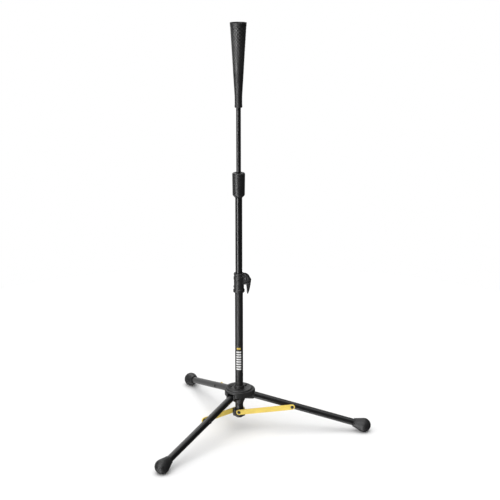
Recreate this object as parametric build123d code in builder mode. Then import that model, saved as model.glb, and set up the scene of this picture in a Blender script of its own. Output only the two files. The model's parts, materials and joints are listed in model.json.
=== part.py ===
"""A folding batting tee: a three-leg base, two telescoping tubes, and a rubber ball cone on a sliding rod.

Millimetres, +Z up. The origin is on the tee's axis at floor level, and leg 1 points along +X.
"""

import os
from math import acos, atan2, cos, degrees, radians, sin, sqrt

from build123d import *

# ---- the three nested tubes --------------------------------------------------------------------
LOWER_R = 22.225 / 2  # 7/8 inch tube
LOWER_BORE = LOWER_R - 1.2
LOWER_BOTTOM = 37.0
LOWER_TOP = 430.0
MID_R = 19.05 / 2  # 3/4 inch tube
MID_BORE = MID_R - 1.0
MID_BOTTOM = 394.0
MID_TOP = 688.0
ROD_R = 12.7 / 2  # 1/2 inch tube
ROD_BORE = ROD_R - 0.9
ROD_BOTTOM = 632.0
ROD_TOP = 960.0
SLIDE_FIT = 0.06  # radial clearance of what slides or turns
LOOSE_GAP = 0.3  # gap between parts that pass each other

# ---- ball cone ---------------------------------------------------------------------------------
CONE_BOTTOM = 914.6
CONE_SLEEVE_TOP = 943.0
CONE_TOP = 1136.0
CONE_SLEEVE_R = 9.95
CONE_TOP_R = 22.05
CONE_WALL = 2.75
CONE_FLOOR = 972.0

# ---- twist collar on top of the middle tube ----------------------------------------------------
COLLAR_BOTTOM = 671.7
COLLAR_SHOULDER = 678.2
COLLAR_TOP = 739.3
COLLAR_LOW_R = 16.6
COLLAR_TOP_R = 17.4
COLLAR_ROUND = 4.0
COLLAR_MOUTH_R = 7.0
THREAD_R = 12.2
THREAD_TOP = 716.0
FINGER_TOP = 733.0

# ---- lever clamp on top of the lower tube ------------------------------------------------------
CLAMP_BOTTOM = 404.6
CLAMP_TOP = 459.0
CLAMP_R = 13.9
CLAMP_FLANGE_R = 15.8
CLAMP_BAND_R = 14.7
PIVOT_X = 20.0
PIVOT_Z = 445.0
LEVER_PIN_R = 2.0
EAR_R = 9.2
EAR_INNER_Y = 5.0
EAR_OUTER_Y = 8.6
CAM_R = 7.0
CAM_THROW = 0.9
LEVER_HALF_WIDTH = 8.5
CAM_HALF_WIDTH = EAR_INNER_Y - LOOSE_GAP
EAR_LOW = 428.2
HANDLE_TOP = 433.8
WINDOW_LOW = 436.5
WINDOW_HIGH = 453.5

# ---- sliding hub -------------------------------------------------------------------------------
HUB_LOBE_R = 35.6
HUB_LOBE_AT = 8.6
HUB_RIM_LOW = 104.5
HUB_RIM_TOP = 120.8
HUB_DISH_R = 37.2
HUB_DISH_TOP = 124.2
HUB_DISH_LOW = 121.2
HUB_BOWL_R = 22.8
HUB_FLOOR = 118.0
HUB_SLEEVE_R = 13.9
HUB_SLEEVE_TOP = 130.0
HUB_POCKET_TOP = 114.2
NOTCH_AZIMUTH = 46.0
NOTCH_AT = 25.5
NOTCH_SIZE = (8.0, 6.5)
HUB_NECK_R = 16.6
HUB_NECK_LOW = 78.0
CHEEK_LOW = 94.4
CHEEK_TOP = 116.0
CHEEK_END = 44.0
CHEEK_HALF_WIDTH = 13.2
HUB_PIN_R = 2.0

# ---- legs --------------------------------------------------------------------------------------
LEG_COUNT = 3
LEG_R = 19.05 / 2
LEG_BORE = LEG_R - 1.0
LEG_SLOPE = 14.9  # degrees below level
HINGE_R = 26.8  # from the tee's axis
HINGE_Z = 105.77
LEG_LENGTH = 330.0  # from the hinge pin
FOOT_AT = 336.5  # centre of the foot's ball, from the hinge pin
FOOT_R = 19.8
BOOT_START = 306.0
BOOT_R = 12.3
SLOT_HALF_WIDTH = LEG_R + 0.425
SLOT_ROOF = 115.9
SLOT_INNER = 16.9

# ---- links and their bracket -------------------------------------------------------------------
LINK_AT = 128.0  # the link's rivet, from the leg's hinge pin
LINK_PIVOT_Z = 52.0
LINK_HALF_HEIGHT = 7.5
LINK_THICK = 2.8
BRACKET_FACE = 12.3  # from the tee's axis to each of the bracket's three faces
BRACKET_HALF_FACE = 14.5
BRACKET_LOW = 40.0
BRACKET_HIGH = 59.8
LINK_INNER_FACE = BRACKET_FACE + 0.2
LINK_OUTER_FACE = LINK_INNER_FACE + LINK_THICK
RIVET_R = 2.5
RIVET_HEAD_R = 4.6
RIVET_HEAD = 2.0

LINK_OUT_R = HINGE_R + LINK_AT * cos(radians(LEG_SLOPE))
LINK_OUT_Z = HINGE_Z - LINK_AT * sin(radians(LEG_SLOPE))
LINK_LENGTH = sqrt(LINK_OUT_R**2 + (LINK_OUT_Z - LINK_PIVOT_Z) ** 2)
LINK_TILT = degrees(atan2(LINK_OUT_Z - LINK_PIVOT_Z, LINK_OUT_R))

os.makedirs("parts", exist_ok=True)


# ---- helpers -----------------------------------------------------------------------------------
def save(piece, name):
    """Label one finished piece and write its STEP file."""
    piece.part.label = name
    export_step(piece.part, f"parts/{name}.step")


def outward(azimuth, slope=0.0):
    """The unit vector that points outwards at an azimuth, and down by a slope, in degrees."""
    a, s = radians(azimuth), radians(slope)
    return Vector(cos(a) * cos(s), sin(a) * cos(s), -sin(s))


def sideways(azimuth):
    """The level unit vector 90 degrees anticlockwise from an azimuth, seen from above."""
    return outward(azimuth + 90)


def hinge_point(azimuth):
    """Where a leg's hinge pin crosses the leg's own plane."""
    return outward(azimuth) * HINGE_R + Vector(0, 0, HINGE_Z)


def leg_side(azimuth):
    """The leg's own upright plane: x runs along the leg from its hinge pin, z points sideways."""
    return Plane(
        origin=hinge_point(azimuth), x_dir=outward(azimuth, LEG_SLOPE), z_dir=sideways(azimuth)
    )


def across_leg(azimuth, distance):
    """A plane square to the leg, at a distance from its hinge pin, looking outwards."""
    direction = outward(azimuth, LEG_SLOPE)
    return Plane(
        origin=hinge_point(azimuth) + direction * distance, x_dir=sideways(azimuth), z_dir=direction
    )


def link_side(azimuth):
    """The link's upright plane through its inner pivot: x runs outwards and z points sideways."""
    return Plane(
        origin=Vector(0, 0, LINK_PIVOT_Z), x_dir=outward(azimuth), z_dir=sideways(azimuth) * -1
    )


def turned(points):
    """Turn a closed (radius, height) outline into a solid of revolution about the tee's axis."""
    with BuildSketch(Plane.XZ) as outline:
        with BuildLine():
            Polyline(*points, close=True)
        make_face()
    revolve(outline.sketch, axis=Axis.Z)


def pin(plane, radius, start, stop):
    """A round bar along a plane's normal, from start to stop."""
    with BuildSketch(plane.offset(start)) as section:
        Circle(radius)
    extrude(section.sketch, amount=stop - start)


def domed_head(plane, radius, at, height):
    """A rivet head with a chamfered crown on a plane's normal; a negative height faces the other way."""
    shoulder = at + height * 0.45
    with BuildSketch(plane.offset(at)) as seat:
        Circle(radius)
    extrude(seat.sketch, amount=shoulder - at)
    with BuildSketch(plane.offset(shoulder)) as rim:
        Circle(radius)
    with BuildSketch(plane.offset(at + height)) as crown:
        Circle(radius * 0.6)
    loft([rim.sketch.face(), crown.sketch.face()])


# ---- lower tube and its ends -------------------------------------------------------------------
def make_lower_tube():
    with BuildPart() as tube:
        with BuildSketch(Plane.XY.offset(LOWER_BOTTOM)):
            Circle(LOWER_R)
            Circle(LOWER_BORE, mode=Mode.SUBTRACT)
        extrude(amount=LOWER_TOP - LOWER_BOTTOM)
        for number in range(LEG_COUNT):
            rivet_plane = link_side(number * 120)
            with BuildSketch(rivet_plane):
                Circle(RIVET_R)
            extrude(amount=LOWER_R + 1, mode=Mode.SUBTRACT)
        with BuildSketch(Plane.YZ.offset(-LOWER_R - 1)):
            with Locations((0, CLAMP_BOTTOM + 15)):
                Circle(1.6)
        extrude(amount=LOWER_R, mode=Mode.SUBTRACT)
    save(tube, "lower_tube")


def make_tube_end_cap():
    with BuildPart() as cap:
        turned([(0, 34.4), (9.6, 34.4), (LOWER_R, 35.6), (LOWER_R, LOWER_BOTTOM), (LOWER_BORE, LOWER_BOTTOM),
                (LOWER_BORE, 46), (8.4, 47.2), (7.6, 47.2), (7.6, 38.6), (0, 38.6)])
    save(cap, "tube_end_cap")


# ---- lever clamp -------------------------------------------------------------------------------
def ear_outline():
    """One clamp ear seen from the side, in X and Z: a disc round the pivot, joined to the sleeve."""
    root = CLAMP_R - 3.5
    with Locations((PIVOT_X, PIVOT_Z)):
        Circle(EAR_R)
    with BuildLine() as web:
        Polyline((root, EAR_LOW), (PIVOT_X + 0.1, EAR_LOW), (PIVOT_X + 0.1, PIVOT_Z), (26.3, 450.8), (23.9, 453.7),
                 (20.6, 456.2), (16.4, 457.4), (root, 457.4), close=True)
    make_face(web.edges())


def make_clamp_sleeve():
    upper_bore = MID_R + LOOSE_GAP
    with BuildPart() as sleeve:
        turned([(LOWER_R, CLAMP_BOTTOM), (15.0, CLAMP_BOTTOM), (CLAMP_FLANGE_R, CLAMP_BOTTOM + 1.0),
                (CLAMP_FLANGE_R, 411.6), (CLAMP_R, 414.0), (CLAMP_R, 439.4), (CLAMP_BAND_R, 440.4),
                (CLAMP_BAND_R, 448.4), (CLAMP_R, 449.4), (13.2, 450.4), (13.2, 452.2), (14.3, 453.6),
                (14.3, CLAMP_TOP - 0.9), (13.4, CLAMP_TOP), (upper_bore, CLAMP_TOP), (upper_bore, LOWER_TOP),
                (LOWER_R, LOWER_TOP)])
        for side in (-1, 1):
            with BuildSketch(Plane.XZ.offset(-side * EAR_INNER_Y)):
                ear_outline()
            extrude(amount=-side * (EAR_OUTER_Y - EAR_INNER_Y))
        with BuildSketch(Plane.XY.offset(WINDOW_LOW)):
            with Locations((PIVOT_X, 0)):
                Rectangle(2 * (PIVOT_X - 7), 2 * EAR_INNER_Y)
        extrude(amount=WINDOW_HIGH - WINDOW_LOW, mode=Mode.SUBTRACT)
        with BuildSketch(Plane.XZ.offset(-EAR_OUTER_Y - 1)):
            with Locations((PIVOT_X, PIVOT_Z)):
                Circle(LEVER_PIN_R)
        extrude(amount=2 * EAR_OUTER_Y + 2, mode=Mode.SUBTRACT)
        with BuildSketch(Plane.YZ.offset(-CLAMP_R - 2)):
            with Locations((0, CLAMP_BOTTOM + 15)):
                Circle(1.6)
        extrude(amount=CLAMP_R - 2, mode=Mode.SUBTRACT)
    save(sleeve, "clamp_sleeve")


def make_clamp_rivet():
    """The blind rivet behind the clamp, through the sleeve and the lower tube."""
    plane = Plane(origin=(0, 0, CLAMP_BOTTOM + 15), x_dir=(0, 1, 0), z_dir=(-1, 0, 0))
    with BuildPart() as rivet:
        pin(plane, 1.6, LOWER_BORE + 0.1, CLAMP_R)
        domed_head(plane, 3.0, CLAMP_R, 1.3)
    save(rivet, "clamp_rivet")


def make_pressure_pad():
    """The shoe that the cam pushes onto the middle tube, in the sleeve's window."""
    with BuildPart() as pad:
        with BuildSketch(Plane.XY.offset(WINDOW_LOW + 0.5)):
            with BuildLine():
                half = CAM_HALF_WIDTH - 0.1
                inner = MID_R + 0.05
                x_edge = sqrt(inner**2 - half**2)
                Line((x_edge, -half), (12.0, -half))
                Line((12.0, -half), (12.0, half))
                Line((12.0, half), (x_edge, half))
                ThreePointArc((x_edge, half), (inner, 0), (x_edge, -half))
            make_face()
        extrude(amount=WINDOW_HIGH - WINDOW_LOW - 1.0)
    save(pad, "pressure_pad")


def make_lever_pin():
    plane = Plane(origin=(PIVOT_X, 0, PIVOT_Z), x_dir=(1, 0, 0), z_dir=(0, -1, 0))
    with BuildPart() as lever_pin:
        pin(plane, LEVER_PIN_R, -EAR_OUTER_Y, EAR_OUTER_Y)
        domed_head(plane, 3.1, EAR_OUTER_Y, 1.1)
        domed_head(plane, 3.1, -EAR_OUTER_Y, -1.1)
    save(lever_pin, "lever_pin")


def lever_outline():
    """The lever seen from the side, in X and Z: the cam, the head over it and the curved handle."""
    with Locations((PIVOT_X - CAM_THROW, PIVOT_Z)):
        Circle(CAM_R)
    with BuildLine() as handle:
        Spline((21.0, 451.2), (25.0, 450.6), (28.6, 448.2), (31.4, 445.0), (33.6, 441.0), (33.2, 435.5), (32.2, 428.5),
               (31.0, 420.0), (28.8, 410.5), (25.6, 402.2))
        Line((25.6, 402.2), (23.6, 402.2))
        Spline((23.6, 402.2), (22.2, 408.5), (21.8, 417.0), (20.7, 427.0), (20.4, 434.0), (20.4, 439.0))
        Line((20.4, 439.0), (21.0, 451.2))
    make_face(handle.edges())


def make_clamp_lever():
    with BuildPart() as lever:
        with BuildSketch(Plane.XZ):
            lever_outline()
        extrude(amount=LEVER_HALF_WIDTH, both=True)
        # above the handle only the cam's width stays, so that the lever turns between the ears
        for side in (-1, 1):
            with BuildSketch(Plane.XZ.offset(-side * CAM_HALF_WIDTH)):
                with Locations((PIVOT_X, PIVOT_Z)):
                    Circle(EAR_R + 0.6)
                with Locations((PIVOT_X, HANDLE_TOP + 15)):
                    Rectangle(40, 30)
            extrude(amount=-side * 10, mode=Mode.SUBTRACT)
        # the handle is a shell, open towards the tube
        with BuildSketch(Plane.XZ):
            with BuildLine():
                Polyline((15, 429.5), (29.0, 429.5), (28.2, 420.5), (26.4, 412.5), (24.4, 407.5), (15, 407.5),
                         close=True)
            make_face()
        extrude(amount=LEVER_HALF_WIDTH - 2.2, both=True, mode=Mode.SUBTRACT)
        with BuildSketch(Plane.XZ.offset(-LEVER_HALF_WIDTH)):
            with Locations((PIVOT_X, PIVOT_Z)):
                Circle(LEVER_PIN_R + SLIDE_FIT)
        extrude(amount=2 * LEVER_HALF_WIDTH, mode=Mode.SUBTRACT)
    save(lever, "clamp_lever")


# ---- middle tube, its guide and the twist collar -----------------------------------------------
def make_mid_tube():
    with BuildPart() as tube:
        with BuildSketch(Plane.XY.offset(MID_BOTTOM)):
            Circle(MID_R)
            Circle(MID_BORE, mode=Mode.SUBTRACT)
        extrude(amount=MID_TOP - MID_BOTTOM)
    save(tube, "mid_tube")


def make_mid_guide():
    """The thin sleeve round the middle tube's lower end, which guides it and stops it at the clamp."""
    with BuildPart() as guide:
        with BuildSketch(Plane.XY.offset(MID_BOTTOM + 2)):
            Circle(LOWER_BORE - SLIDE_FIT)
            Circle(MID_R, mode=Mode.SUBTRACT)
        extrude(amount=LOWER_TOP - 2 - (MID_BOTTOM + 2))
    save(guide, "mid_guide")


def make_collet_insert():
    """The threaded insert in the middle tube's mouth, with four tapered fingers that grip the rod."""
    bore = ROD_R + SLIDE_FIT
    pitch, depth = 3.5, 0.9
    threads = int((THREAD_TOP - MID_TOP - 4) / pitch)
    outline = [(bore, 664), (MID_BORE, 664), (MID_BORE, MID_TOP), (THREAD_R, MID_TOP)]
    for turn in range(threads):
        low = MID_TOP + 3 + turn * pitch
        outline += [(THREAD_R, low), (THREAD_R - depth, low + 0.8), (THREAD_R - depth, low + 1.6),
                    (THREAD_R, low + 2.4)]
    outline += [(THREAD_R, THREAD_TOP), (10.9, THREAD_TOP + 1.5), (8.3, FINGER_TOP), (bore, FINGER_TOP)]
    with BuildPart() as insert:
        turned(outline)
        with BuildSketch(Plane.XY.offset(THREAD_TOP - 2)):
            Rectangle(40, 1.6)
            Rectangle(1.6, 40)
        extrude(amount=FINGER_TOP - THREAD_TOP + 4, mode=Mode.SUBTRACT)
    save(insert, "collet_insert")


def make_twist_collar():
    """The nut that squeezes the fingers onto the rod: threaded below, with a cone inside its top."""
    tube_bore = MID_R + LOOSE_GAP + 0.1
    thread_bore = THREAD_R + LOOSE_GAP + 0.1
    lip_low = COLLAR_TOP - 3.2
    cut = COLLAR_ROUND * (1 - sqrt(0.5))
    with BuildPart() as collar:
        with BuildSketch(Plane.XZ):
            with BuildLine():
                Polyline((tube_bore, MID_TOP - 0.4), (tube_bore, COLLAR_BOTTOM), (10.7, COLLAR_BOTTOM),
                         (COLLAR_LOW_R, COLLAR_SHOULDER), (COLLAR_TOP_R, COLLAR_TOP - COLLAR_ROUND))
                ThreePointArc((COLLAR_TOP_R, COLLAR_TOP - COLLAR_ROUND), (COLLAR_TOP_R - cut, COLLAR_TOP - cut),
                              (COLLAR_TOP_R - COLLAR_ROUND, COLLAR_TOP))
                Polyline((COLLAR_TOP_R - COLLAR_ROUND, COLLAR_TOP), (COLLAR_MOUTH_R, COLLAR_TOP),
                         (COLLAR_MOUTH_R, lip_low), (8.6, lip_low), (11.9, THREAD_TOP + 1.5),
                         (thread_bore, THREAD_TOP), (thread_bore, MID_TOP - 0.4), (tube_bore, MID_TOP - 0.4))
            make_face()
        revolve(axis=Axis.Z)
    save(collar, "twist_collar")


# ---- rod and ball cone -------------------------------------------------------------------------
def make_upper_rod():
    with BuildPart() as rod:
        with BuildSketch(Plane.XY.offset(ROD_BOTTOM)):
            Circle(ROD_R)
            Circle(ROD_BORE, mode=Mode.SUBTRACT)
        extrude(amount=ROD_TOP - ROD_BOTTOM)
    save(rod, "upper_rod")


def make_rod_guide():
    """The bush on the rod's lower end, which guides it in the middle tube and stops it at the insert."""
    with BuildPart() as guide:
        with BuildSketch(Plane.XY.offset(ROD_BOTTOM)):
            Circle(MID_BORE - SLIDE_FIT)
            Circle(ROD_R, mode=Mode.SUBTRACT)
        extrude(amount=30)
        chamfer(guide.edges().filter_by(GeomType.CIRCLE).group_by(SortBy.RADIUS)[-1], 0.6)
    save(guide, "rod_guide")


def make_rod_plug():
    with BuildPart() as plug:
        turned([(0, ROD_TOP - 12), (4.6, ROD_TOP - 12), (ROD_BORE, ROD_TOP - 10.5), (ROD_BORE, ROD_TOP),
                (ROD_R, ROD_TOP), (5.6, ROD_TOP + 1.6), (0, ROD_TOP + 1.6)])
    save(plug, "rod_plug")


def make_ball_cone():
    """The flexible cone that holds the ball on its open mouth, with a sleeve that grips the rod."""
    taper = (CONE_TOP_R - CONE_SLEEVE_R) / (CONE_TOP - CONE_SLEEVE_TOP)
    inner_low = CONE_SLEEVE_R + taper * (CONE_FLOOR + 3 - CONE_SLEEVE_TOP) - CONE_WALL
    mouth = CONE_TOP_R - CONE_WALL
    with BuildPart() as cone:
        turned([(ROD_R, CONE_BOTTOM), (9.4, CONE_BOTTOM), (10.2, 915.6), (10.25, 918.5), (CONE_SLEEVE_R, 924),
                (CONE_SLEEVE_R, CONE_SLEEVE_TOP), (CONE_TOP_R - 0.05, CONE_TOP - 0.8), (CONE_TOP_R - 0.6, CONE_TOP),
                (mouth + 0.6, CONE_TOP), (mouth, CONE_TOP - 1.0), (inner_low, CONE_FLOOR + 3),
                (inner_low - 2.5, CONE_FLOOR), (0, CONE_FLOOR), (0, ROD_TOP + 1.6), (5.6, ROD_TOP + 1.6),
                (ROD_R, ROD_TOP)])
    save(cone, "ball_cone")


# ---- hub and its pins --------------------------------------------------------------------------
def hub_lobes(inset=0.0):
    """The rim's outline in the open sketch: a rounded triangle with a lobe over each leg."""
    with BuildSketch() as lobes:
        for number in range(LEG_COUNT):
            with Locations(outward(number * 120) * HUB_LOBE_AT):
                Circle(HUB_LOBE_R - inset)
        make_hull()
    add(lobes.sketch)


def make_hub():
    bore = LOWER_R + SLIDE_FIT
    with BuildPart() as hub:
        with BuildSketch(Plane.XY.offset(HUB_RIM_LOW)):
            hub_lobes()
        extrude(amount=HUB_RIM_TOP - HUB_RIM_LOW)
        fillet(hub.faces().sort_by(Axis.Z)[-1].edges(), 2.2)
        chamfer(hub.faces().sort_by(Axis.Z)[0].edges(), 0.8)
        turned([(bore, HUB_NECK_LOW), (12.5, HUB_NECK_LOW), (HUB_NECK_R, HUB_NECK_LOW + 10),
                (HUB_NECK_R, HUB_RIM_LOW + 2), (HUB_DISH_R, HUB_RIM_LOW + 2), (HUB_DISH_R, HUB_DISH_TOP - 2.4),
                (HUB_DISH_R - 0.6, HUB_DISH_TOP - 1.2), (HUB_DISH_R - 1.8, HUB_DISH_TOP - 0.2),
                (HUB_DISH_R - 3.4, HUB_DISH_TOP), (HUB_BOWL_R + 0.8, HUB_DISH_LOW), (HUB_BOWL_R, HUB_DISH_LOW - 0.5),
                (HUB_BOWL_R - 2.4, HUB_FLOOR), (HUB_SLEEVE_R, HUB_FLOOR), (HUB_SLEEVE_R, HUB_SLEEVE_TOP - 1),
                (HUB_SLEEVE_R - 0.9, HUB_SLEEVE_TOP), (bore, HUB_SLEEVE_TOP)])
        # two cheeks beside each leg
        for number in range(LEG_COUNT):
            side = Plane(origin=(0, 0, 0), x_dir=outward(number * 120), z_dir=sideways(number * 120) * -1)
            with BuildSketch(side):
                with BuildLine():
                    Polyline((13, CHEEK_LOW), (CHEEK_END - 4, CHEEK_LOW), (CHEEK_END - 1, CHEEK_LOW + 1.6),
                             (CHEEK_END, CHEEK_LOW + 4.4), (CHEEK_END, CHEEK_TOP - 2), (CHEEK_END - 2, CHEEK_TOP),
                             (13, CHEEK_TOP), close=True)
                make_face()
            extrude(amount=CHEEK_HALF_WIDTH, both=True)
        # hollows under the top between the legs
        with BuildSketch(Plane.XY.offset(CHEEK_LOW - 1)):
            hub_lobes(3)
            Circle(HUB_NECK_R + 3, mode=Mode.SUBTRACT)
            for number in range(LEG_COUNT):
                with Locations(Location((0, 0, 0), (0, 0, 1), number * 120)):
                    with Locations((30, 0)):
                        Rectangle(60, 2 * CHEEK_HALF_WIDTH, mode=Mode.SUBTRACT)
        extrude(amount=HUB_POCKET_TOP - CHEEK_LOW + 1, mode=Mode.SUBTRACT)
        # the leg slots, open outwards and downwards
        with BuildSketch(Plane.XY.offset(HUB_NECK_LOW - 1)):
            for number in range(LEG_COUNT):
                with Locations(Location((0, 0, 0), (0, 0, 1), number * 120)):
                    with Locations((SLOT_INNER + 20, 0)):
                        Rectangle(40, 2 * SLOT_HALF_WIDTH)
        extrude(amount=SLOT_ROOF - HUB_NECK_LOW + 1, mode=Mode.SUBTRACT)
        # the bore again, through the cheeks' inner ends
        with BuildSketch(Plane.XY.offset(HUB_NECK_LOW - 1)):
            Circle(bore)
        extrude(amount=HUB_SLEEVE_TOP - HUB_NECK_LOW + 2, mode=Mode.SUBTRACT)
        for number in range(LEG_COUNT):
            across = Plane(origin=hinge_point(number * 120), x_dir=outward(number * 120), z_dir=sideways(number * 120))
            with BuildSketch(across):
                Circle(HUB_PIN_R)
            extrude(amount=CHEEK_HALF_WIDTH + 1, both=True, mode=Mode.SUBTRACT)
        # a notch in the dish after each leg
        with BuildSketch(Plane.XY.offset(HUB_FLOOR)):
            for number in range(LEG_COUNT):
                with Locations(Location((0, 0, 0), (0, 0, 1), NOTCH_AZIMUTH + number * 120)):
                    with Locations((NOTCH_AT, 0)):
                        RectangleRounded(*NOTCH_SIZE, NOTCH_SIZE[1] / 4)
        extrude(amount=HUB_SLEEVE_TOP - HUB_FLOOR, mode=Mode.SUBTRACT)
    save(hub, "hub")


def make_hub_pins():
    with BuildPart() as pins:
        for number in range(LEG_COUNT):
            across = Plane(origin=hinge_point(number * 120), x_dir=outward(number * 120), z_dir=sideways(number * 120))
            pin(across, HUB_PIN_R, -CHEEK_HALF_WIDTH, CHEEK_HALF_WIDTH)
            domed_head(across, 2.9, CHEEK_HALF_WIDTH, 1.0)
            domed_head(across, 2.9, -CHEEK_HALF_WIDTH, -1.0)
    save(pins, "hub_pins")


# ---- legs --------------------------------------------------------------------------------------
def leg_silhouette(length, radius):
    """A leg seen from the side, with its inner end rounded about the hinge pin."""
    Circle(radius)
    with Locations((length / 2, 0)):
        Rectangle(length, 2 * radius)


def make_leg_tube(azimuth, number):
    with BuildPart() as tube:
        with BuildSketch(across_leg(azimuth, -LEG_R)):
            Circle(LEG_R)
            Circle(LEG_BORE, mode=Mode.SUBTRACT)
        extrude(amount=LEG_R + LEG_LENGTH)
        with BuildSketch(leg_side(azimuth)):
            leg_silhouette(LEG_LENGTH, LEG_R)
        extrude(amount=LEG_R + 1, both=True, mode=Mode.INTERSECT)
        with BuildSketch(leg_side(azimuth)):
            Circle(HUB_PIN_R + SLIDE_FIT)
            with Locations((LINK_AT, 0)):
                Circle(RIVET_R)
        extrude(amount=LEG_R + 1, both=True, mode=Mode.SUBTRACT)
    save(tube, f"leg_tube_{number}")


def make_leg_plug(azimuth, number):
    """The moulded plug in the leg's inner end, which takes the hinge pin."""
    with BuildPart() as plug:
        with BuildSketch(across_leg(azimuth, -LEG_R)):
            Circle(LEG_BORE)
        extrude(amount=LEG_R + 16)
        with BuildSketch(leg_side(azimuth)):
            leg_silhouette(16, LEG_BORE)
        extrude(amount=LEG_R, both=True, mode=Mode.INTERSECT)
        with BuildSketch(leg_side(azimuth)):
            Circle(HUB_PIN_R + SLIDE_FIT)
        extrude(amount=LEG_R, both=True, mode=Mode.SUBTRACT)
    save(plug, f"leg_plug_{number}")


def make_leg_foot(azimuth, number):
    """The rubber foot: it flares from its boot to a ball, and is flat where it stands on the floor."""
    to_boot = Vector(BOOT_START + 0.8 - FOOT_AT, BOOT_R)
    flare = atan2(to_boot.Y, to_boot.X) - acos(FOOT_R / to_boot.length)
    joint_x = FOOT_AT + FOOT_R * cos(flare)
    joint_r = FOOT_R * sin(flare)
    top = (FOOT_AT + FOOT_R * cos(flare / 2), FOOT_R * sin(flare / 2))
    with BuildPart() as foot:
        with BuildSketch(leg_side(azimuth)):
            with BuildLine():
                Polyline((LEG_LENGTH, 0), (LEG_LENGTH, LEG_R), (BOOT_START, LEG_R), (BOOT_START, BOOT_R - 0.8),
                         (BOOT_START + 0.8, BOOT_R), (joint_x, joint_r))
                ThreePointArc((joint_x, joint_r), top, (FOOT_AT + FOOT_R, 0))
                Line((FOOT_AT + FOOT_R, 0), (LEG_LENGTH, 0))
            make_face()
        revolve(axis=Axis(hinge_point(azimuth), outward(azimuth, LEG_SLOPE)))
        with BuildSketch(Plane.XY):
            Circle(500)
        extrude(amount=-20, mode=Mode.SUBTRACT)
    save(foot, f"leg_foot_{number}")


def make_leg_rivet(azimuth, number):
    """The link's rivet where it crosses the leg: a head on the far side, flush on the link's side."""
    plane = leg_side(azimuth)
    across = Plane(origin=plane.from_local_coords(Vector(LINK_AT, 0, 0)), x_dir=plane.x_dir, z_dir=plane.z_dir)
    with BuildPart() as rivet:
        pin(across, RIVET_R, -LEG_R, LEG_R)
        domed_head(across, RIVET_HEAD_R, LEG_R, RIVET_HEAD)
    save(rivet, f"leg_rivet_{number}")


# ---- links -------------------------------------------------------------------------------------
def link_outer_plane(azimuth):
    """The plane through the link's outer pivot, looking out from the leg's side."""
    centre = outward(azimuth) * LINK_OUT_R + Vector(0, 0, LINK_OUT_Z)
    return Plane(origin=centre, x_dir=outward(azimuth), z_dir=sideways(azimuth) * -1)


def make_link_bar(azimuth, number):
    with BuildPart() as bar:
        with BuildSketch(link_side(azimuth).offset(LINK_INNER_FACE)):
            with Locations((LINK_OUT_R / 2, (LINK_OUT_Z - LINK_PIVOT_Z) / 2)):
                SlotCenterToCenter(LINK_LENGTH, 2 * LINK_HALF_HEIGHT, rotation=LINK_TILT)
            Circle(RIVET_R + SLIDE_FIT, mode=Mode.SUBTRACT)
            with Locations((LINK_OUT_R, LINK_OUT_Z - LINK_PIVOT_Z)):
                Circle(RIVET_R, mode=Mode.SUBTRACT)
        extrude(amount=LINK_THICK)
    save(bar, f"link_bar_{number}")


def make_link_rivet(azimuth, number):
    """The outer rivet of a link: its head, its shank in the bar and the washer between bar and leg."""
    plane = link_outer_plane(azimuth)
    with BuildPart() as rivet:
        pin(plane, RIVET_R, LINK_INNER_FACE, LINK_OUTER_FACE)
        pin(plane, RIVET_HEAD_R, LEG_R + LOOSE_GAP, LINK_INNER_FACE)
        domed_head(plane, RIVET_HEAD_R, LINK_OUTER_FACE, RIVET_HEAD)
    save(rivet, f"link_rivet_{number}")


def make_link_bracket():
    """The block at the foot of the lower tube, with a flat face for each link."""
    corners = []
    for number in range(LEG_COUNT):
        face = outward(number * 120 - 90)
        along = outward(number * 120)
        for end in (-1, 1):
            corner = face * BRACKET_FACE + along * (end * BRACKET_HALF_FACE)
            corners.append((corner.X, corner.Y))
    with BuildPart() as bracket:
        with BuildSketch(Plane.XY.offset(BRACKET_LOW)):
            with BuildLine():
                Polyline(*corners, close=True)
            make_face()
        extrude(amount=BRACKET_HIGH - BRACKET_LOW)
        fillet(bracket.edges().filter_by(Axis.Z), 2.5)
        chamfer(bracket.faces().sort_by(Axis.Z)[-1].edges(), 1.2)
        chamfer(bracket.faces().sort_by(Axis.Z)[0].edges(), 1.2)
        with BuildSketch(Plane.XY.offset(BRACKET_LOW - 1)):
            Circle(LOWER_R)
        extrude(amount=BRACKET_HIGH - BRACKET_LOW + 2, mode=Mode.SUBTRACT)
        for number in range(LEG_COUNT):
            with BuildSketch(link_side(number * 120)):
                Circle(RIVET_R)
            extrude(amount=BRACKET_FACE + 2, mode=Mode.SUBTRACT)
    save(bracket, "link_bracket")


def make_bracket_rivets():
    """The three inner rivets that the links turn on, through the bracket and the tube's wall."""
    with BuildPart() as rivets:
        for number in range(LEG_COUNT):
            plane = link_side(number * 120)
            pin(plane, RIVET_R, LOWER_BORE + 0.2, LINK_OUTER_FACE + 0.2)
            domed_head(plane, RIVET_HEAD_R, LINK_OUTER_FACE + 0.2, RIVET_HEAD)
    save(rivets, "bracket_rivets")


# ---- the whole tee -----------------------------------------------------------------------------
make_lower_tube()
make_tube_end_cap()
make_clamp_sleeve()
make_clamp_rivet()
make_pressure_pad()
make_lever_pin()
make_clamp_lever()
make_mid_tube()
make_mid_guide()
make_collet_insert()
make_twist_collar()
make_upper_rod()
make_rod_guide()
make_rod_plug()
make_ball_cone()
make_hub()
make_hub_pins()
make_link_bracket()
make_bracket_rivets()
for leg in range(LEG_COUNT):
    make_leg_tube(leg * 120, leg + 1)
    make_leg_plug(leg * 120, leg + 1)
    make_leg_foot(leg * 120, leg + 1)
    make_leg_rivet(leg * 120, leg + 1)
    make_link_bar(leg * 120, leg + 1)
    make_link_rivet(leg * 120, leg + 1)
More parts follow.
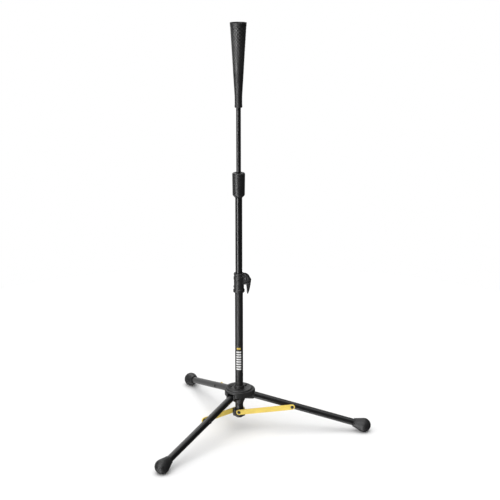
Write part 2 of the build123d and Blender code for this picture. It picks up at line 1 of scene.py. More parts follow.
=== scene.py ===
"""The looks of a folding batting tee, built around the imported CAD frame.

The frame is in metres, +Z up, with the origin on the tee's axis at floor level and leg 1 along +X.
Sizes of shapes are in millimetres, and those of materials in metres. An outline is a list of
(radius, height) or (radius, height, setback) corners, where the setback is the distance from the
corner at which its rounding starts.
"""

import json
from math import atan2, cos, pi, radians, sin, sqrt

import bmesh
import bpy
from mathutils import Matrix, Vector


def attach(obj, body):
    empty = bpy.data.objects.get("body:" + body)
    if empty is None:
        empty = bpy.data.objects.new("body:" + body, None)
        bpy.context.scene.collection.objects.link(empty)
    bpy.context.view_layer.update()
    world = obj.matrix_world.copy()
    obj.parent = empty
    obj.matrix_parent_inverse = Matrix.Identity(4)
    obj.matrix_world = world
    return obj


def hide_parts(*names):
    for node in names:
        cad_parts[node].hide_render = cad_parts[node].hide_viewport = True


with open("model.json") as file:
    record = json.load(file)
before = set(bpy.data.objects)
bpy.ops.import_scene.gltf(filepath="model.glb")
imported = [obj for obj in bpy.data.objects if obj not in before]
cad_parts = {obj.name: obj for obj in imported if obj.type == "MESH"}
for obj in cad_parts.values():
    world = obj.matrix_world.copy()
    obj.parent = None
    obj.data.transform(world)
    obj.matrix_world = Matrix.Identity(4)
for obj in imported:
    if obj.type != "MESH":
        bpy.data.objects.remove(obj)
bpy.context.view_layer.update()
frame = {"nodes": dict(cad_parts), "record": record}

MM = 0.001
BODIES = frame["record"]["behaviour"]["bodies"]
BODY_OF = {node: body for body, members in BODIES.items() for node in members}
SLOT_OF = {name: node.data.materials[0].name for name, node in frame["nodes"].items()}

# ---- sizes shared with the CAD -----------------------------------------------------------------
LOWER_R, LOWER_BORE, LOWER_ENDS = 11.1125, 9.9125, (37.0, 430.0)
MID_R, MID_BORE, MID_ENDS = 9.525, 8.525, (394.0, 688.0)
ROD_R, ROD_BORE, ROD_ENDS = 6.35, 5.45, (632.0, 960.0)
COLLAR_LOW, COLLAR_TOP = 671.7, 739.3
# Along a leg, distances are from its hinge pin.
LEG_AZIMUTHS = {1: 0.0, 2: 120.0, 3: 240.0}
LEG_R, LEG_END = 9.525, 330.0
LEG_SLOPE = 14.9  # degrees below level
HINGE_R, HINGE_Z = 26.8, 105.77
FOOT_AT, FOOT_R = 336.5, 19.8
BOOT_START, BOOT_R, BOOT_BORE = 306.0, 12.3, LEG_R + 0.03
LINK_AT, LINK_PIVOT_Z = 128.0, 52.0
LINK_OUT_R = HINGE_R + LINK_AT * cos(radians(LEG_SLOPE))
LINK_OUT_Z = HINGE_Z - LINK_AT * sin(radians(LEG_SLOPE))
LINK_FACE, LINK_THICK = 15.3, 2.8  # the outer face is LINK_FACE from the tee's axis
RIVET = {"radius": 2.5, "head_radius": 4.6, "head_height": 2.0}
HUB_PIN = {"radius": 2.0, "head_radius": 2.9, "head_height": 1.0}
HUB_PIN_SEAT = 13.2
LEVER_PIN = {"radius": 2.0, "head_radius": 3.1, "head_height": 1.1}
LEVER_PIN_X, LEVER_PIN_Z, LEVER_PIN_SEAT = 20.0, 445.0, 8.6
CLAMP_RIVET = {"radius": 1.6, "head_radius": 3.0, "head_height": 1.3}
CLAMP_RIVET_Z, CLAMP_RIVET_SEAT = 419.6, 13.9
CONE_LOW, CONE_TOP, CONE_FLOOR = 914.6, 1136.0, 972.0
CONE_TOP_R, CONE_WALL = 22.05, 2.75
SLEEVE_R, SLEEVE_TOP = 9.95, 943.0
SLEEVE_BORE, SLEEVE_CEILING = 6.38, 961.7
CONE_TAPER = (CONE_TOP_R - SLEEVE_R) / (CONE_TOP - SLEEVE_TOP)

# ---- sizes of the looks alone ------------------------------------------------------------------
TUBE_LIP = 0.35
KNURL_COUNT, KNURL_PITCH, KNURL_DEPTH = 13, 9.4, 0.9
KNURL_LOW, KNURL_FADED, KNURL_HIGH = 1006.0, 1056.0, 1125.6  # full depth from KNURL_FADED up
KNURL_RUN_OUT = 0.8  # the height in which the diamonds end below the rim
STEPS_PER_DIAMOND = 12
BALL_STEPS, GROOVE_STEPS, GROOVE_DEPTH = 40, (16, 17), 0.35

MARK_AZIMUTH, MARK_LOW = -92.0, 178.5
BAR_COUNT, BAR_PITCH, BAR_HALF_WIDTH = 8, 7.2, 7.2
BAR_SHARE, BAR_EDGE_SHARE = 0.58, 0.03  # of the pitch
YELLOW_LOW, YELLOW_HIGH, YELLOW_HALF_WIDTH = 238.5, 244.0, 5.5
MARK_EDGE = 0.2


# ---- node trees --------------------------------------------------------------------------------
EDGE_COSINES = (0.93, 0.995)  # between the rounded and the true normal, from worn to not worn
RUB_SIZE, RUB_SPAN = 0.004, (0.42, 0.62)  # the noise that breaks up worn edges


class Tree:
    """A node tree whose nodes are added and linked in short calls."""

    def __init__(self, tree):
        self.tree = tree

    def add(self, kind, **settings):
        node = self.tree.nodes.new(kind)
        for key, value in settings.items():
            setattr(node, key, value)
        return node

    def link(self, source, target):
        self.tree.links.new(source, target)

    def math(self, operation, *values):
        """A math node of numbers and sockets; gives its output."""
        node = self.add("ShaderNodeMath", operation=operation)
        for socket, value in zip(node.inputs, values):
            if isinstance(value, (int, float)):
                socket.default_value = value
            else:
                self.link(value, socket)
        return node.outputs[0]

    def total(self, operation, first, *others):
        """Several values joined by one operation, such as ADD or MULTIPLY."""
        for value in others:
            first = self.math(operation, first, value)
        return first

    def ramp(self, value, low, high, to_low=0.0, to_high=1.0, **settings):
        """value mapped from [low, high] to [to_low, to_high] and held there."""
        node = self.add("ShaderNodeMapRange", clamp=True, **settings)
        ends = {"From Min": low, "From Max": high, "To Min": to_low, "To Max": to_high}
        for key, number in ends.items():
            node.inputs[key].default_value = number
        self.link(value, node.inputs["Value"])
        return node.outputs["Result"]


class Paint(Tree):
    """A material's node tree, with a Principled shader and the object's own coordinates."""

    def __init__(self, name):
        self.material = bpy.data.materials.new(name)
        self.material.use_nodes = True
        super().__init__(self.material.node_tree)
        self.shader = self.tree.nodes["Principled BSDF"]
        self.where = self.add("ShaderNodeTexCoord").outputs["Object"]

    def axes(self):
        """The object's own x, y and z as sockets."""
        split = self.add("ShaderNodeSeparateXYZ")
        self.link(self.where, split.inputs[0])
        return split.outputs

    def noise(self, size, detail=3.0, roughness=0.5):
        """Noise from 0 to 1 whose blobs are about size metres across."""
        node = self.add("ShaderNodeTexNoise")
        node.inputs["Scale"].default_value = 1.0 / size
        node.inputs["Detail"].default_value = detail
        node.inputs["Roughness"].default_value = roughness
        self.link(self.where, node.inputs["Vector"])
        return node.outputs["Fac"]

    def mix(self, factor, first, second):
        """A colour between two colours or colour sockets."""
        node = self.add("ShaderNodeMix", data_type="RGBA")
        factor_socket, first_socket, second_socket = node.inputs[0], node.inputs[6], node.inputs[7]
        self.link(factor, factor_socket)
        for socket, colour in ((first_socket, first), (second_socket, second)):
            if isinstance(colour, tuple):
                socket.default_value = (*colour, 1.0)
            else:
                self.link(colour, socket)
        return node.outputs[2]

    def scaled(self, colour, factor):
        """A colour or colour socket multiplied by a factor socket."""
        node = self.add("ShaderNodeVectorMath", operation="SCALE")
        if isinstance(colour, tuple):
            node.inputs[0].default_value = colour
        else:
            self.link(colour, node.inputs[0])
        self.link(factor, node.inputs["Scale"])
        return node.outputs[0]

    def worn_edges(self, reach):
        """Up to 1 within reach metres of an edge and 0 on flats, broken up by noise."""
        bevel = self.add("ShaderNodeBevel", samples=4)
        bevel.inputs["Radius"].default_value = reach
        turned = self.add("ShaderNodeVectorMath", operation="DOT_PRODUCT")
        self.link(bevel.outputs["Normal"], turned.inputs[0])
        self.link(self.add("ShaderNodeNewGeometry").outputs["Normal"], turned.inputs[1])
        edge = self.ramp(turned.outputs["Value"], *EDGE_COSINES, 1.0, 0.0)
        rubbed = self.ramp(self.noise(RUB_SIZE, detail=4.0), *RUB_SPAN)
        return self.math("MULTIPLY", edge, rubbed)


# ---- materials ---------------------------------------------------------------------------------
# A bump is its noise's size and its depth. A span is the part of a noise that a ramp uses.
ORANGE_PEEL = ((0.0030, 0.000012), (0.0006, 0.000003))
SPARKED_GRAIN = ((0.006, 0.00006), (0.0005, 0.00003))
MOULD_GRAIN = ((0.004, 0.00005), (0.0006, 0.00002))
SCUFFS = ((0.0009, 0.00001),)
MOTTLE_SPAN, PATCH_SPAN = (0.3, 0.7), (0.32, 0.68)
FINE_SHARE = 0.16  # of the slow mottle's size
CROWN_DEPTHS = (-0.45, -0.15)  # from hollow to crown, as shares of the knurl's depth
# The crown colour below is a painted highlight: the diamonds' crowns are painted lighter than the
# rubber to stand in for their glint.
HOLLOW_GLOSS, CROWN_GLOSS, CROWN_GLINT_COLOUR = 1.15, 0.36, (0.033, 0.033, 0.034)
INK_WHITE, INK_YELLOW = (0.72, 0.72, 0.72), (0.62, 0.44, 0.08)
FLECK_SIZE, FLECK_SPAN, FLECK_INK = 0.0012, (0.30, 0.38), 0.55  # the ink's share in a fleck


def finished(paint, base, rough, *, spread, wear, wear_colour, mottle, bumps, specular=0.5,
             metallic=0.0, reach=0.0008, contrast=0.18, gloss=None):
    """Colour variation, worn edges, uneven roughness and bump for one finish.

    base is a colour or a socket, and gloss is a socket that multiplies the roughness.
    """
    slow = paint.noise(mottle, detail=4.0, roughness=0.6)
    fine = paint.noise(mottle * FINE_SHARE, detail=5.0, roughness=0.65)
    varied = paint.scaled(base, paint.ramp(slow, *MOTTLE_SPAN, 1 - contrast, 1 + contrast))
    worn = paint.math("MULTIPLY", paint.worn_edges(reach), wear)
    paint.link(paint.mix(worn, varied, wear_colour), paint.shader.inputs["Base Color"])
    patches = paint.math("MULTIPLY", paint.math("ADD", slow, fine), 0.5)
    roughness = paint.ramp(patches, *PATCH_SPAN, rough - spread, rough + spread)
    if gloss is not None:
        roughness = paint.math("MULTIPLY", roughness, gloss)
    paint.link(roughness, paint.shader.inputs["Roughness"])
    paint.shader.inputs["Specular IOR Level"].default_value = specular
    paint.shader.inputs["Metallic"].default_value = metallic
    normal = None
    for size, depth in bumps:
        bump = paint.add("ShaderNodeBump")
        bump.inputs["Distance"].default_value = depth
        paint.link(paint.noise(size, detail=2.0), bump.inputs["Height"])
        if normal is not None:
            paint.link(normal, bump.inputs["Normal"])
        normal = bump.outputs["Normal"]
    paint.link(normal, paint.shader.inputs["Normal"])
    return paint.material


def powder_coat(name, base, rough, paint=None):
    """Black powder coat on steel: a faint orange peel, and grey where its edges are rubbed."""
    return finished(paint or Paint(name), base, rough, spread=0.05, wear=0.5,
                    wear_colour=(0.10, 0.10, 0.105), mottle=0.05, bumps=ORANGE_PEEL)


def moulded(name, base, rough):
    """Moulded nylon: a fine sparked grain, slight sink marks and paler edges."""
    return finished(Paint(name), base, rough, spread=0.06, wear=0.35,
                    wear_colour=(0.075, 0.075, 0.08), mottle=0.018, bumps=SPARKED_GRAIN)


def rubber(name, base, rough, specular=0.4, paint=None, gloss=None):
    """Moulded rubber with a dusty bloom."""
    return finished(paint or Paint(name), base, rough, spread=0.08, wear=0.45,
                    wear_colour=(0.06, 0.06, 0.062), mottle=0.02, bumps=MOULD_GRAIN,
                    specular=specular, contrast=0.25, gloss=gloss)


def grip_rubber(name, base, rough):
    """The cone's rubber: matt, with glossier crowns on its raised diamonds; the crowns' colour is a
    painted highlight and the hollows' colour a painted shade.
    """
    paint = Paint(name)
    x, y, height = paint.axes()
    squares = (paint.math("MULTIPLY", x, x), paint.math("MULTIPLY", y, y))
    from_axis = paint.math("SQRT", paint.math("ADD", *squares))
    side_at_floor = (SLEEVE_R - CONE_TAPER * SLEEVE_TOP) * MM
    side = paint.math("ADD", paint.math("MULTIPLY", height, CONE_TAPER), side_at_floor)
    crown_depths = [share * KNURL_DEPTH * MM for share in CROWN_DEPTHS]
    raised = paint.total(
        "MULTIPLY",
        paint.ramp(paint.math("SUBTRACT", from_axis, side), *crown_depths),
        paint.ramp(height, KNURL_LOW * MM, KNURL_FADED * MM),
        paint.ramp(height, (KNURL_HIGH - 1) * MM, KNURL_HIGH * MM, 1.0, 0.0))
    # Painted shade: the hollows between the diamonds are painted at half the rubber's colour.
    painted_hollow_shade = tuple(0.5 * value for value in base)
    # Painted highlight on the crowns and painted shade in the hollows, blended by how raised the
    # surface is.
    painted_glint_and_shade = paint.mix(raised, painted_hollow_shade, CROWN_GLINT_COLOUR)
    gloss = paint.ramp(raised, 0.0, 1.0, HOLLOW_GLOSS, CROWN_GLOSS)
    paint.link(raised, paint.shader.inputs["Coat Weight"])
    paint.shader.inputs["Coat Roughness"].default_value = 0.12
    return rubber(name, painted_glint_and_shade, rough, specular=0.6, paint=paint, gloss=gloss)


def bare_metal(name, base, rough):
    """Plated steel with faint scuffs."""
    return finished(Paint(name), base, rough, spread=0.08, wear=0.3,
                    wear_colour=(0.75, 0.75, 0.76), mottle=0.006, bumps=SCUFFS, metallic=1.0)


def yellow_paint(name):
    """Yellow powder coat on flat steel, chipped to brown along its edges."""
    return finished(Paint(name), (0.88, 0.66, 0.13), 0.36, spread=0.06, wear=0.4,
                    wear_colour=(0.30, 0.16, 0.03), mottle=0.03, bumps=ORANGE_PEEL,
                    reach=0.0006, contrast=0.06)


def marked_tube(name, base, rough):
    """The lower tube's coat with a printed ladder of plain white bars under one yellow bar."""
    paint = Paint(name)
    x, y, z = paint.axes()
    turned = paint.math("SUBTRACT", paint.math("ARCTAN2", y, x), radians(MARK_AZIMUTH))
    across = paint.math("MULTIPLY", paint.math("ABSOLUTE", turned), LOWER_R * MM)

    def within(half_width):
        return paint.ramp(across, (half_width - MARK_EDGE) * MM, half_width * MM, 1.0, 0.0)

    steps = paint.math("DIVIDE", paint.math("SUBTRACT", z, MARK_LOW * MM), BAR_PITCH * MM)
    share = paint.math("FRACT", steps)
    white = paint.total(
        "MULTIPLY",
        paint.ramp(share, 0.0, BAR_EDGE_SHARE),
        paint.ramp(share, BAR_SHARE, BAR_SHARE + BAR_EDGE_SHARE, 1.0, 0.0),
        paint.math("GREATER_THAN", steps, 0.0),
        paint.math("LESS_THAN", steps, BAR_COUNT),
        within(BAR_HALF_WIDTH),
        paint.ramp(paint.noise(FLECK_SIZE), *FLECK_SPAN, FLECK_INK, 1.0))
    yellow = paint.total(
        "MULTIPLY",
        paint.ramp(z, YELLOW_LOW * MM, (YELLOW_LOW + MARK_EDGE) * MM),
        paint.ramp(z, (YELLOW_HIGH - MARK_EDGE) * MM, YELLOW_HIGH * MM, 1.0, 0.0),
        within(YELLOW_HALF_WIDTH))
    printed = paint.mix(yellow, paint.mix(white, base, INK_WHITE), INK_YELLOW)
    return powder_coat(name, printed, rough, paint=paint)


FINISH = {
    "tube_black_lower": marked_tube("satin_black_tube_lower", (0.009, 0.009, 0.0095), 0.54),
    "tube_black": powder_coat("gloss_black_tube", (0.006, 0.006, 0.0065), 0.29),
    "leg_black": powder_coat("satin_black_leg", (0.005, 0.005, 0.0055), 0.32),
    "link_yellow": yellow_paint("yellow_link_paint"),
    "cone_rubber": grip_rubber("black_cone_rubber", (0.008, 0.008, 0.0085), 0.50),
    "foot_rubber": rubber("black_foot_rubber", (0.011, 0.011, 0.0115), 0.52),
    "hub_black": moulded("moulded_hub_nylon", (0.014, 0.014, 0.0145), 0.55),
    "clamp_black": moulded("moulded_clamp_nylon", (0.010, 0.010, 0.0105), 0.50),
    "lever_black": moulded("moulded_lever_nylon", (0.007, 0.007, 0.0075), 0.42),
    "collar_black": moulded("moulded_collar_nylon", (0.008, 0.008, 0.0085), 0.46),
    "bracket_black": moulded("moulded_bracket_nylon", (0.012, 0.012, 0.013), 0.46),
    "moulded_black": moulded("moulded_small_parts", (0.013, 0.013, 0.014), 0.5),
    "rivet_black": powder_coat("black_rivet", (0.012, 0.012, 0.013), 0.32),
    "dark_steel": bare_metal("dark_steel", (0.05, 0.05, 0.052), 0.42),
    "steel": bare_metal("plated_steel", (0.62, 0.62, 0.63), 0.28),
}
for name, node in frame["nodes"].items():
    node.data.materials[0] = FINISH[SLOT_OF[name]]


# ---- mesh helpers ------------------------------------------------------------------------------
WELD = 0.002  # vertices of a CAD mesh that are closer than this are one
FLAT, SHARP = 0.4, 28.0  # degrees between faces: below FLAT they merge, above SHARP they round


def rounded(corners, steps=4):
    """A closed outline's points, with each corner that has a setback turned into a curve."""
    points = []
    for number, corner in enumerate(corners):
        here = Vector(corner[:2])
        setback = corner[2] if len(corner) > 2 else 0
        if not setback:
            points.append(here)
            continue
        before = Vector(corners[number - 1][:2])
        after = Vector(corners[(number + 1) % len(corners)][:2])
        start = here + (before - here).normalized() * setback
        end = here + (after - here).normalized() * setback
        for step in range(steps + 1):
            t = step / steps
            points.append(start * (1 - t) ** 2 + here * (2 * t * (1 - t)) + end * t**2)
    return points


def turn(corners, place=None, segments=96, steps=4, relief=None):
    """The vertices, in metres, and faces of a closed outline turned about place's Z axis.

    relief(angle, radius, height) gives the radius at an angle, where the surface isn't plain.
    """
    vertices, rings, faces = [], [], []
    for radius, height in rounded(corners, steps):
        start = len(vertices)
        if radius < 1e-6:
            vertices.append(Vector((0, 0, height)))
            rings.append([start] * segments)
            continue
        for segment in range(segments):
            angle = 2 * pi * segment / segments
            r = relief(angle, radius, height) if relief else radius
            vertices.append(Vector((r * cos(angle), r * sin(angle), height)))
        rings.append(list(range(start, start + segments)))
    for number, ring in enumerate(rings):
        following = rings[(number + 1) % len(rings)]
        for segment in range(segments):
            beside = (segment + 1) % segments
            loop = (ring[segment], ring[beside], following[beside], following[segment])
            face = [vertex for k, vertex in enumerate(loop) if vertex != loop[k - 1]]
            if len(set(face)) > 2:
                faces.append(face)
    place = place or Matrix()
    return [place @ vertex * MM for vertex in vertices], faces


def adopt(name, mesh, nodes, sharp=32.0):
    """Face a mesh outwards, smooth it up to its sharp edges, and let it stand for CAD nodes."""
    work = bmesh.new()
    work.from_mesh(mesh)
    bmesh.ops.recalc_face_normals(work, faces=work.faces)
    work.to_mesh(mesh)
    work.free()
    mesh.shade_smooth()
    mesh.set_sharp_from_angle(angle=radians(sharp))
    piece = bpy.data.objects.new(name, mesh)
    bpy.context.scene.collection.objects.link(piece)
    mesh.materials.clear()
    mesh.materials.append(FINISH[SLOT_OF[nodes[0]]])
    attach(piece, BODY_OF[nodes[0]])
    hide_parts(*nodes)


def build(name, solids, nodes, sharp=32.0):
    """One piece of several (vertices, faces) solids that stands for CAD nodes of one body."""
    vertices, faces = [], []
    for points, loops in solids:
        start = len(vertices)
        vertices += points
        faces += [[start + vertex for vertex in loop] for loop in loops]
    mesh = bpy.data.meshes.new(name)
    mesh.from_pydata(vertices, [], faces)
    adopt(name, mesh, nodes, sharp)


def softened(node, radius):
    """A piece with the shape of a CAD node, its sharp edges rounded, that stands for it."""
    work = bmesh.new()
    work.from_mesh(frame["nodes"][node].data)
    bmesh.ops.remove_doubles(work, verts=work.verts, dist=WELD * MM)
    bmesh.ops.dissolve_limit(work, angle_limit=radians(FLAT), verts=work.verts, edges=work.edges)
    sharp_edges = [edge for edge in work.edges
                   if len(edge.link_faces) == 2 and edge.calc_face_angle(0) > radians(SHARP)]
    bmesh.ops.bevel(work, geom=sharp_edges, offset=radius * MM, offset_type="OFFSET", segments=3,
                    profile=0.5, affect="EDGES", clamp_overlap=True, harden_normals=False)
    mesh = bpy.data.meshes.new(node + "_soft")
    work.to_mesh(mesh)
    work.free()
    adopt(node + "_soft", mesh, [node], sharp=40.0)


def facing(origin, direction):
    """A placement in millimetres whose Z axis points along direction from origin."""
    tilt = Vector(direction).to_track_quat("Z", "Y").to_matrix().to_4x4()
    return Matrix.Translation(Vector(origin)) @ tilt


def outward(azimuth, slope=0.0):
    """The unit vector that points outwards at an azimuth, and down by a slope, in degrees."""
    a, s = radians(azimuth), radians(slope)
    return Vector((cos(a) * cos(s), sin(a) * cos(s), -sin(s)))


def hinge(azimuth):
    """A leg's hinge point, in the leg's own upright plane."""
    return outward(azimuth) * HINGE_R + Vector((0, 0, HINGE_Z))


# ---- tubes -------------------------------------------------------------------------------------
def tube(name, node, outer, bore, ends):
    """An upright tube on the tee's axis with rounded lips."""
    low, high = ends
    lips = [(outer, low), (outer, high), (bore, high), (bore, low)]
    build(name, [turn([(*corner, TUBE_LIP) for corner in lips])], [node])


tube("tube_lower", "lower_tube", LOWER_R, LOWER_BORE, LOWER_ENDS)
tube("tube_middle", "mid_tube", MID_R, MID_BORE, MID_ENDS)
tube("rod_upper", "upper_rod", ROD_R, ROD_BORE, ROD_ENDS)

# ---- twist collar ------------------------------------------------------------------------------
# From the lower mouth outwards and up, over the top and back down inside.
COLLAR_OUTSIDE = [(9.93, 687.6), (9.93, COLLAR_LOW, 0.3), (10.9, COLLAR_LOW, 0.4),
                  (16.6, 678.2, 1.2), (17.4, COLLAR_TOP - 0.2, 4.2), (9.6, COLLAR_TOP, 0.25)]
COLLAR_MOUTH = [(9.4, COLLAR_TOP - 0.9, 0.25), (7.0, COLLAR_TOP - 0.9, 0.3), (7.0, 736.1)]
COLLAR_CAVITY = [(8.6, 736.1), (11.9, 717.5), (12.6, 716.0), (12.6, 687.6)]
build("collar_shell", [turn(COLLAR_OUTSIDE + COLLAR_MOUTH + COLLAR_CAVITY, steps=8)],
      ["twist_collar"])


# ---- ball cone ---------------------------------------------------------------------------------
def cone_radius(height):
    """The plain cone's outer radius at a height."""
    return SLEEVE_R + CONE_TAPER * (height - SLEEVE_TOP)


def knurled(angle, radius, height):
    """The cone's radius with its raised diamonds, which fade out downwards."""
    inside = radius < cone_radius(height) - 0.5
    if inside or not KNURL_LOW < height < KNURL_HIGH:
        return radius
    around = KNURL_COUNT * angle / (2 * pi)
    up = (height - KNURL_HIGH) / KNURL_PITCH
    slants = [abs((value + 0.5) % 1.0 - 0.5) * 2 for value in (around + up, around - up)]
    crown = sin(pi / 2 * slants[0]) * sin(pi / 2 * slants[1])
    fade = min((height - KNURL_LOW) / (KNURL_FADED - KNURL_LOW),
               (KNURL_HIGH - height) / KNURL_RUN_OUT, 1.0)
    return radius - KNURL_DEPTH * fade * (1 - crown)


def make_cone():
    """The cone with its sleeve, knurled grip, plain rim and open mouth."""
    row = KNURL_PITCH / STEPS_PER_DIAMOND
    rows = int((KNURL_HIGH - KNURL_LOW) / row)
    heights = [KNURL_HIGH - row * (rows - k) for k in range(rows + 1)]
    sleeve = [(SLEEVE_BORE, CONE_LOW, 0.3), (9.6, CONE_LOW, 0.5), (10.25, 915.6, 0.4),
              (10.3, 918.7, 0.6), (SLEEVE_R, 923.0, 1.5), (SLEEVE_R, SLEEVE_TOP, 6.0)]
    grip = [(cone_radius(height), height) for height in heights]
    rim = [(CONE_TOP_R, CONE_TOP, 0.7), (CONE_TOP_R - CONE_WALL, CONE_TOP, 0.8)]
    low_bore = cone_radius(CONE_FLOOR + 3) - CONE_WALL
    inside = [(low_bore, CONE_FLOOR + 3, 1.5), (low_bore - 2.5, CONE_FLOOR, 1.5), (0, CONE_FLOOR)]
    socket = [(0, SLEEVE_CEILING), (5.7, SLEEVE_CEILING), (SLEEVE_BORE, 960.1)]
    cone = turn(sleeve + grip + rim + inside + socket, segments=KNURL_COUNT * STEPS_PER_DIAMOND,
                relief=knurled)
    build("cone_knurled", [cone], ["ball_cone"], sharp=50.0)


make_cone()


# ---- feet --------------------------------------------------------------------------------------
def make_foot(number, azimuth):
    """A rubber foot: a boot with a rolled edge that flares to a ball, flat on the floor."""
    reach = Vector((BOOT_START + 0.8 - FOOT_AT, BOOT_R))
    tangent = sqrt(reach.length_squared - FOOT_R**2)
    flare = atan2(reach.y, reach.x) - pi / 2 + atan2(FOOT_R, tangent)
    boot = [(BOOT_BORE, LEG_END), (BOOT_BORE, BOOT_START, 0.3), (BOOT_R - 0.2, BOOT_START, 0.8),
            (BOOT_R + 0.1, BOOT_START + 2.6, 0.8), (BOOT_R - 0.1, BOOT_START + 3.4, 0.4),
            (BOOT_R + 0.55, BOOT_START + 4.4, 0.4)]
    ball = []
    for step in range(BALL_STEPS):
        angle = flare * (1 - step / BALL_STEPS)
        radius = FOOT_R - (GROOVE_DEPTH if step in GROOVE_STEPS else 0.0)
        ball.append((radius * sin(angle), FOOT_AT + radius * cos(angle)))
    tip = [(0, FOOT_AT + FOOT_R), (0, LEG_END + 0.2)]
    place = facing(hinge(azimuth), outward(azimuth, LEG_SLOPE))
    vertices, faces = turn(boot + ball + tip, place)
    for vertex in vertices:
        vertex.z = max(vertex.z, 0.0)
    build(f"foot_rubber_{number}", [(vertices, faces)], [f"leg_foot_{number}"])


# ---- rivets and pins ---------------------------------------------------------------------------
def rivet(origin, direction, start, seat, *, radius, head_radius, head_height):
    """A rivet along direction from origin: a shank from start, then a domed head from seat."""
    shank = [(0, start), (radius, start, 0.2), (radius, seat)]
    dome = [(head_radius, seat, 0.15), (head_radius, seat + head_height * 0.45, head_height * 0.4),
            (head_radius * 0.62, seat + head_height, head_height * 0.5),
            (head_radius * 0.3, seat + head_height * 0.96, 0.3), (0, seat + head_height * 0.78)]
    return turn(shank + dome, facing(origin, direction), segments=40, steps=5)


def make_leg_rivets(number, azimuth):
    """The rivet and washer at a link's outer end, and the rivet's far head on the leg."""
    beside = outward(azimuth - 90)
    centre = outward(azimuth) * LINK_OUT_R + Vector((0, 0, LINK_OUT_Z))
    low, high, head_radius = LEG_R + 0.3, LINK_FACE - LINK_THICK, RIVET["head_radius"]
    washer = turn([(0, low), (head_radius, low, 0.3), (head_radius, high, 0.2), (0, high)],
                  facing(centre, beside), segments=40)
    build(f"rivet_link_{number}", [rivet(centre, beside, high, LINK_FACE, **RIVET), washer],
          [f"link_rivet_{number}"])
    build(f"rivet_leg_{number}", [rivet(centre, -beside, -LEG_R, LEG_R, **RIVET)],
          [f"leg_rivet_{number}"])


for number, azimuth in LEG_AZIMUTHS.items():
    make_foot(number, azimuth)
    make_leg_rivets(number, azimuth)
    softened(f"link_bar_{number}", 0.55)

build("rivets_bracket",
      [rivet((0, 0, LINK_PIVOT_Z), outward(azimuth - 90), LOWER_BORE + 0.2, LINK_FACE + 0.2,
             **RIVET) for azimuth in LEG_AZIMUTHS.values()], ["bracket_rivets"])
build("pins_hub",
      [rivet(hinge(azimuth), outward(azimuth + side), 0.0, HUB_PIN_SEAT, **HUB_PIN)
       for azimuth in LEG_AZIMUTHS.values() for side in (90, -90)], ["hub_pins"])
build("pin_lever",
      [rivet((LEVER_PIN_X, 0, LEVER_PIN_Z), (0, side, 0), 0.0, LEVER_PIN_SEAT, **LEVER_PIN)
       for side in (-1, 1)], ["lever_pin"])
build("rivet_clamp",
      [rivet((0, 0, CLAMP_RIVET_Z), (-1, 0, 0), LOWER_BORE + 0.1, CLAMP_RIVET_SEAT, **CLAMP_RIVET)],
      ["clamp_rivet"])

# ---- moulded parts -----------------------------------------------------------------------------
softened("hub", 0.5)
softened("clamp_sleeve", 0.35)
softened("clamp_lever", 0.8)
softened("link_bracket", 0.4)

# ---- the floor ---------------------------------------------------------------------------------
FLOOR_R, FLOOR_SIDES = 1.6, 128  # metres
floor_edge = [outward(360 * k / FLOOR_SIDES) * FLOOR_R for k in range(FLOOR_SIDES)]
floor_mesh = bpy.data.meshes.new("floor")
floor_mesh.from_pydata(floor_edge, [], [list(range(FLOOR_SIDES))])
floor = bpy.data.objects.new("floor", floor_mesh)
bpy.context.scene.collection.objects.link(floor)
floor_paint = Paint("pale_floor")
floor_paint.shader.inputs["Base Color"].default_value = (0.93, 0.93, 0.93, 1)
floor_paint.shader.inputs["Roughness"].default_value = 0.9
floor_paint.shader.inputs["Specular IOR Level"].default_value = 0.0
floor_mesh.materials.append(floor_paint.material)
floor.visible_glossy = False

# ---- the light ---------------------------------------------------------------------------------
# The camera sees white. Shiny surfaces mirror a tall strip light on the left, a soft one up
# behind, a pale backdrop, and black cloth on the right. The plain light, which every other ray
# meets, comes from the front left and above.
world = bpy.data.worlds.new("studio")
bpy.context.scene.world = world
world.use_nodes = True
sky = Tree(world.node_tree)
ray = sky.add("ShaderNodeTexCoord").outputs["Generated"]


def towards(direction):
    """The cosine between a ray and a direction."""
    dot = sky.add("ShaderNodeVectorMath", operation="DOT_PRODUCT")
    sky.link(ray, dot.inputs[0])
    dot.inputs[1].default_value = Vector(direction).normalized()
    return dot.outputs["Value"]


def eased(value, low, high, to_low, to_high):
    """A ramp with soft ends."""
    return sky.ramp(value, low, high, to_low, to_high, interpolation_type="SMOOTHSTEP")


def glow(direction, inner, outer, light):
    """A round patch of light whose edge fades from the inner to the outer angle, in degrees."""
    return eased(towards(direction), cos(radians(outer)), cos(radians(inner)), 0.0, light)


def choose(chance, otherwise, chosen):
    """A strength that is chosen where chance is 1."""
    node = sky.add("ShaderNodeMix", data_type="FLOAT")
    sky.link(chance, node.inputs[0])
    sky.link(otherwise, node.inputs[2])
    if isinstance(chosen, float):
        node.inputs[3].default_value = chosen
    else:
        sky.link(chosen, node.inputs[3])
    return node.outputs[0]


STRIP_AZIMUTH, STRIP_HALF, STRIP_FADE, STRIP_LIGHT = -127.0, 7.5, 3.0, 10.0
SEEN_LIGHT = 1.0

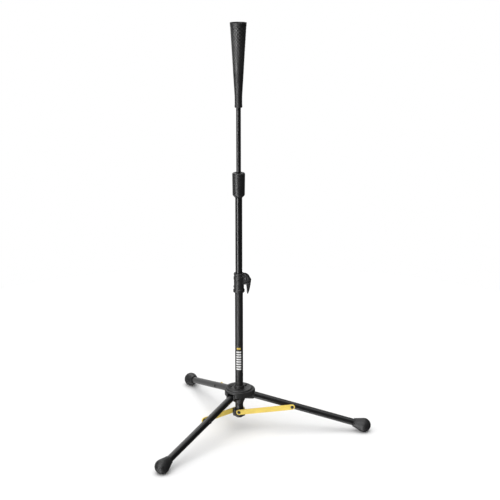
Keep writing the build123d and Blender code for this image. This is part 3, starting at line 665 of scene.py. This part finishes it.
right, up, front = towards((1, 0, 0)), towards((0, 0, 1)), towards((0, -1, 0))
off_strip = sky.math("ABSOLUTE", towards(outward(STRIP_AZIMUTH + 90)))
strip_edges = [sin(radians(STRIP_HALF)), sin(radians(STRIP_HALF + STRIP_FADE))]
strip = sky.total(
    "MULTIPLY",
    eased(off_strip, *strip_edges, 1.0, 0.0),
    eased(right, -0.1, -0.3, 0.0, STRIP_LIGHT),
    eased(front, 0.1, 0.3, 0.0, 1.0))
low_left = sky.math("MULTIPLY", eased(up, 0.0, -0.5, 0.0, 0.12), eased(right, 0.2, 0.6, 1.0, 0.0))
mirrored = sky.total(
    "ADD",
    eased(right, -0.35, 0.35, 0.24, 0.05),
    low_left,
    eased(up, 0.5, 0.9, 0.0, 0.06),
    glow((-0.48, 0.84, -0.2), 24, 42, 0.60),
    glow((-0.25, 0.68, 0.69), 12, 27, 2.4),
    strip)
plain = sky.math("ADD", glow((-0.5, -0.85, 0.1), 10, 95, 1.12), eased(up, 0.1, 0.8, 0.10, 0.48))

path = sky.add("ShaderNodeLightPath")
lighting = choose(path.outputs["Is Glossy Ray"], plain, mirrored)
backdrop = sky.tree.nodes["Background"]
sky.link(choose(path.outputs["Is Camera Ray"], lighting, SEEN_LIGHT), backdrop.inputs["Strength"])
backdrop.inputs["Color"].default_value = (1, 1, 1, 1)

sun = bpy.data.objects.new("overhead", bpy.data.lights.new("overhead", "SUN"))
sun.data.energy = 1.45
sun.data.angle = radians(60)
sun.location = (0.1, -0.1, 3.0)
sun.rotation_euler = (-sun.location).to_track_quat("-Z", "Y").to_euler()
sun.visible_camera = False
bpy.context.scene.collection.objects.link(sun)

# ---- the camera --------------------------------------------------------------------------------
camera = bpy.data.objects.new("camera", bpy.data.cameras.new("camera"))
camera.location = (0.2705, -3.1293, 1.411)
camera.rotation_euler = (radians(74.23), 0, radians(4.385))
camera.data.lens = 86.2
camera.data.sensor_width = 36.0
camera.data.clip_end = 200.0
bpy.context.scene.collection.objects.link(camera)
bpy.context.scene.camera = camera
bpy.context.scene.view_settings.view_transform = "Standard"
